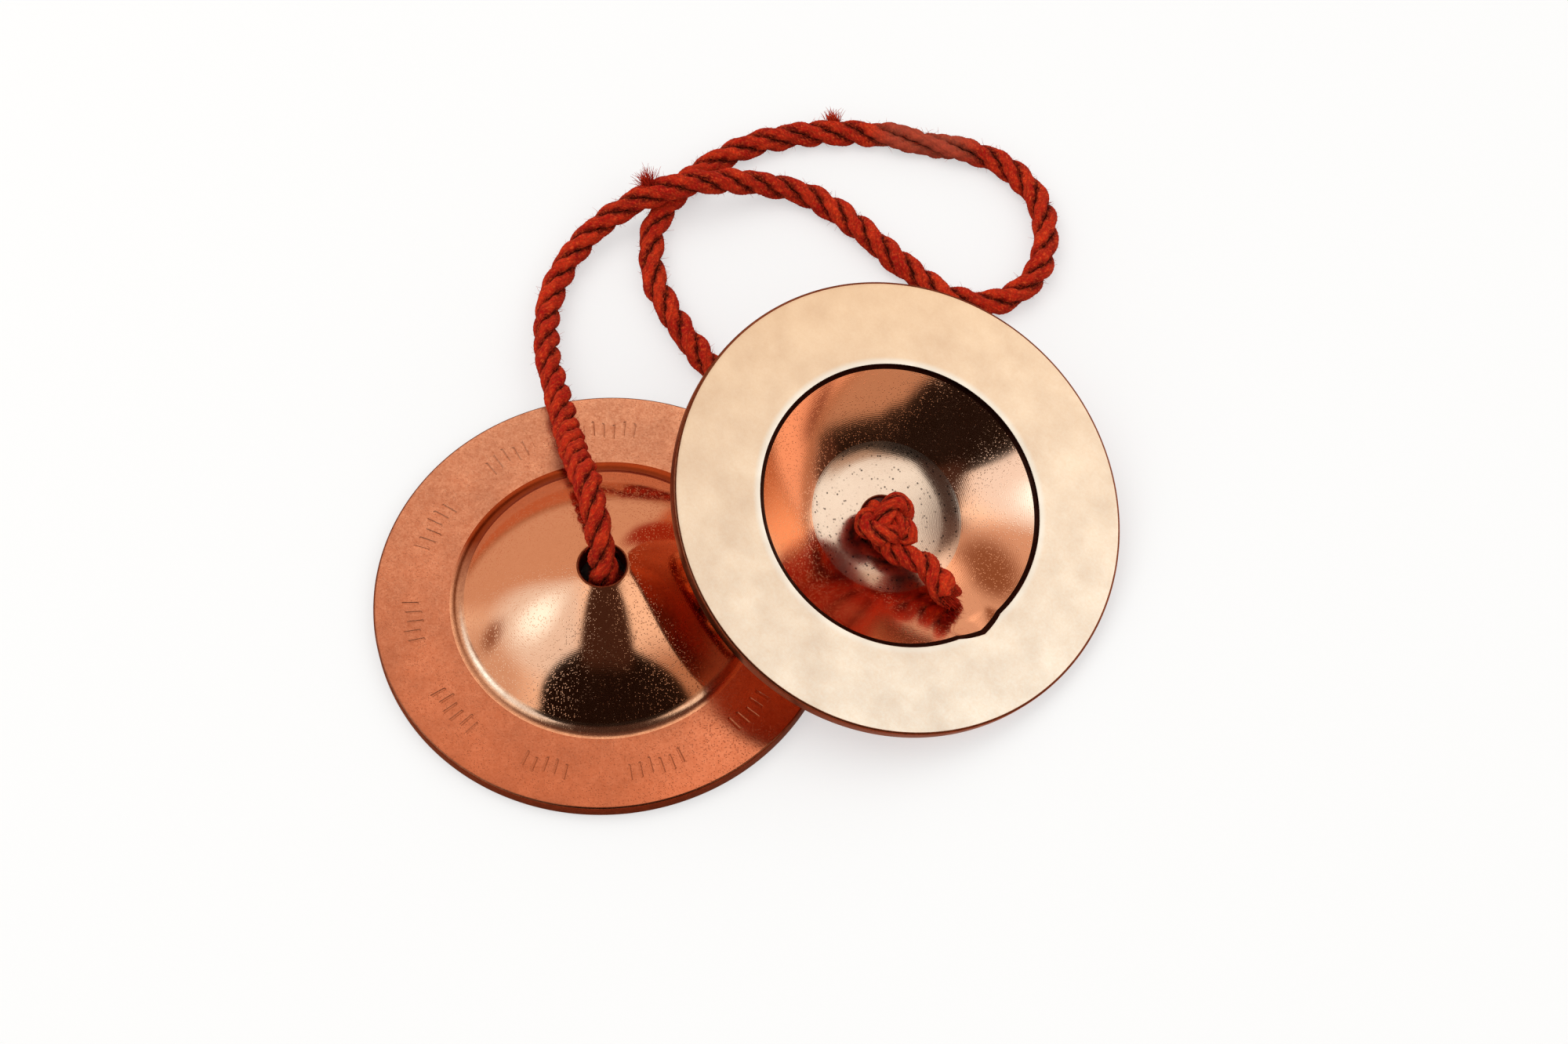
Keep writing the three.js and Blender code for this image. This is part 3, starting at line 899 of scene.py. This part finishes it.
def stampedMarks(add, place, radius):
    # Plain short strokes in groups round the middle of the rim, as a hand punch leaves them.
    parts = add("SeparateXYZ", {0: place})
    angle = add("Math", {"operation": "ARCTAN2", 0: parts["Y"], 1: parts["X"]})[0]
    waves = []
    for key in ("strokes", "groups", "waver"):
        turned = add("Math", {"operation": "MULTIPLY", 0: angle, 1: marks[key]})[0]
        waves.append(add("Math", {"operation": "SINE", 0: turned})[0])
    stroke = add("MapRange", {"Value": waves[0], "From Min": 0.55, "From Max": 0.95})[0]
    group = add("MapRange", {"Value": waves[1], "From Min": -0.1, "From Max": 0.1})[0]
    sway = add("Math", {"operation": "MULTIPLY", 0: waves[2], 1: marks["sway"]})[0]
    middle = add("Math", {"operation": "ADD", 0: sway, 1: marks["radius"]})[0]
    offset = add("Math", {"operation": "SUBTRACT", 0: radius, 1: middle})[0]
    away = add("Math", {"operation": "ABSOLUTE", 0: offset})[0]
    outside, inside = marks["half"]
    band = add("MapRange", {"Value": away, "From Min": outside, "From Max": inside})[0]
    inGroup = add("Math", {"operation": "MULTIPLY", 0: stroke, 1: group})[0]
    return add("Math", {"operation": "MULTIPLY", 0: inGroup, 1: band})[0]


def heldDirt(add, place, radius):
    # Specks in coarse pores, thickest along the turning marks.
    cell = add("TexVoronoi", {"Scale": metal["speckScale"], "Vector": place})
    rings = add("Math", {"operation": "MULTIPLY", 0: radius, 1: metal["speckRings"]})[0]
    rings = add("Math", {"operation": "SINE", 0: rings})[0]
    share = {"Value": rings, "From Min": -0.4, "From Max": 1.0, "To Min": 0.12, "To Max": 0.85}
    pick = add("SeparateXYZ", {0: cell["Color"]})[1]
    held = add("Math", {"operation": "LESS_THAN", 0: pick, 1: metal["speckShare"]})[0]
    dot = {**fadeOut, "Value": cell["Distance"], "From Min": 0.18, "From Max": 0.38}
    for factor in (add("MapRange", share)[0], add("MapRange", dot)[0]):
        held = add("Math", {"operation": "MULTIPLY", 0: held, 1: factor})[0]
    return held


def metalMaterial(finish):
    # Bell bronze of one zone, in millimetres of the casting's own frame.
    material, add = newMaterial(finish["name"])
    base, dark = (linearColour(c) for c in finish["tones"])
    mottle, roughness = finish["mottle"], finish["roughness"]
    place = add("Attribute", {"attribute_name": "turned"})["Vector"]
    parts = add("SeparateXYZ", {0: place})
    flat = add("CombineXYZ", {0: parts["X"], 1: parts["Y"]})[0]
    radius = add("VectorMath", {"operation": "LENGTH", 0: flat})["Value"]
    noise = {"Scale": metal["cloudScale"], "Detail": 4.0, "Roughness": 0.55}
    cloud = add("TexNoise", {**noise, "Vector": place})["Fac"]
    noise = {"Scale": metal["blotchScale"], "Detail": 5.0, "Roughness": 0.7}
    blotch = add("TexNoise", {**noise, "Vector": place})["Fac"]
    noise = {"Scale": finish["grain"][0], "Detail": 3.0, "Roughness": 0.7}
    grain = add("TexNoise", {**noise, "Vector": place})["Fac"]
    cell = add("TexVoronoi", {"Scale": metal["poreScale"], "Vector": place})
    pick = add("SeparateXYZ", {0: cell["Color"]})[0]
    chosen = add("Math", {"operation": "LESS_THAN", 0: pick, 1: metal["poreShare"]})[0]
    dip = {**smooth, "From Min": 0.1, "From Max": 0.5, "To Min": -1.0, "To Max": 0.0}
    dip = add("MapRange", {**dip, "Value": cell["Distance"]})[0]
    pore = add("Math", {"operation": "MULTIPLY", 0: dip, 1: chosen})[0]

    colour = base
    if "fade" in finish:  # paler towards one side of the casting: painted reflection on the rim, painted highlight on the crease
        tone, direction, reach = finish["fade"]
        side = add("VectorMath", {"operation": "DOT_PRODUCT", 0: place, 1: direction})["Value"]
        paler = add("MapRange", {"Value": side, "From Min": -reach, "From Max": reach})[0]
        colour = add("Mix", {**blend, 0: paler, 6: colour, 7: linearColour(tone)})[2]
    for pattern, low, high, share in ((grain, 0.38, 0.66, mottle), (blotch, 0.36, 0.64, mottle * 0.8)):
        spots = add("MapRange", {"Value": pattern, "From Min": low, "From Max": high})[0]
        spots = add("Math", {"operation": "MULTIPLY", 0: spots, 1: share})[0]
        colour = add("Mix", {**blend, 0: spots, 6: colour, 7: dark})[2]
    if "halo" in finish:  # worn bright beside the lip
        far, close = metal["haloRadius"]
        near = add("MapRange", {**smooth, "Value": radius, "From Min": far, "From Max": close})[0]
        colour = add("Mix", {**blend, 0: near, 6: colour, 7: linearColour(finish["halo"])})[2]
    if "specks" in finish:
        dirt = linearColour(finish["specks"])
        colour = add("Mix", {**blend, 0: heldDirt(add, place, radius), 6: colour, 7: dirt})[2]

    poreDepth, ringDepth = finish["depths"]
    turns = add("Math", {"operation": "MULTIPLY", 0: radius, 1: 2 * math.pi / metal["ringPitch"]})[0]
    rings = add("Math", {"operation": "SINE", 0: turns})[0]
    total = add("Math", {"operation": "MULTIPLY", 0: rings, 1: ringDepth})[0]
    layers = [(grain, finish["grain"][1]), (pore, poreDepth)]
    if "markDepth" in finish:
        stamp = stampedMarks(add, place, radius)
        layers.append((stamp, -finish["markDepth"]))
        tint = add("Math", {"operation": "MULTIPLY", 0: stamp, 1: marks["tint"]})[0]
        colour = add("Mix", {**blend, 0: tint, 6: colour, 7: linearColour(marks["tone"])})[2]
    for layer, depth in layers:
        scaled = add("Math", {"operation": "MULTIPLY", 0: layer, 1: depth})[0]
        total = add("Math", {"operation": "ADD", 0: total, 1: scaled})[0]
    bump = add("Bump", {"Strength": 1.0, "Distance": mm, "Height": total})[0]

    limits = {"From Min": 0.3, "From Max": 0.7, "To Min": roughness * 0.8, "To Max": roughness * 1.2}
    rough = add("MapRange", {**limits, "Value": cloud})[0]
    if "polish" in finish:  # smoother on the side where the pair rubs
        direction, share = finish["polish"]
        side = add("VectorMath", {"operation": "DOT_PRODUCT", 0: place, 1: direction})["Value"]
        start, end = metal["rubbedFrom"]
        rubbed = {"Value": side, "From Min": start, "From Max": end, "To Min": 1.0, "To Max": share}
        rough = add("Math", {"operation": "MULTIPLY", 0: rough, 1: add("MapRange", rubbed)[0]})[0]
    bronze = {"Metallic": 1.0, "Base Color": colour, "Roughness": rough, "Normal": bump}
    add("OutputMaterial", {0: add("BsdfPrincipled", bronze)[0]})
    return material


metals = [metalMaterial(finish) for finish in finishes.values()]
zoneMaterial = {zone: index for index, zone in enumerate(finishes)}
zoneMaterial["bore"] = zoneMaterial["edge"]
nick = {  # a chip in the lip
    "azimuth": -18.0,
    "width": 10.0,
    "depth": 1.0,
    "reach": 2.6,
    "height": 5.0,  # how far up the wall it can reach
    "wallShare": 0.5,
}


def buildCasting(name, origin, axes, body, node, nicked):
    points, zones = castingProfile()
    count, steps = len(points), cymbal["steps"]
    angles = np.arange(steps) / steps * 2 * math.pi
    r, h = np.array(points).T
    radius = np.broadcast_to(r[None, :], (steps, count)).copy()
    height = np.broadcast_to(-h[None, :], (steps, count)).copy()
    if nicked:
        away = (np.degrees(angles) - nick["azimuth"] + 180) % 360 - 180
        bulge = np.clip(1 - np.abs(away) / nick["width"], 0, 1) ** 0.8 * nick["depth"]
        near = np.clip(1 - np.abs(r - cymbal["openingRadius"]) / nick["reach"], 0, 1)
        near = near * (h < nick["height"])
        near[h > cymbal["wallThickness"]] *= nick["wallShare"]
        radius += bulge[:, None] * near[None, :]
    flat = [radius * np.cos(angles)[:, None], radius * np.sin(angles)[:, None], height]
    local = np.stack(flat, axis=2).reshape(-1, 3)
    verts = origin + sum(local[:, k : k + 1] * axis for k, axis in enumerate(axes))
    faces, faceMaterial = [], []
    for i in range(steps):
        a, b = i * count, (i + 1) % steps * count
        for j in range(count):
            m = (j + 1) % count
            faces.append((a + j, a + m, b + m, b + j))
            faceMaterial.append(zoneMaterial[zones[m]])
    piece = meshObject(name, verts, faces, metals, faceMaterial, {"turned": local})
    piece.data.validate()
    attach(piece, body)
    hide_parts(node)


buildCasting("left_casting", leftCentre, leftAxes, "left_cymbal", "left_cymbal", False)
buildCasting("right_casting", rightCentre, rightAxes, "right_cymbal", "right_cymbal", True)
print("castings turned")
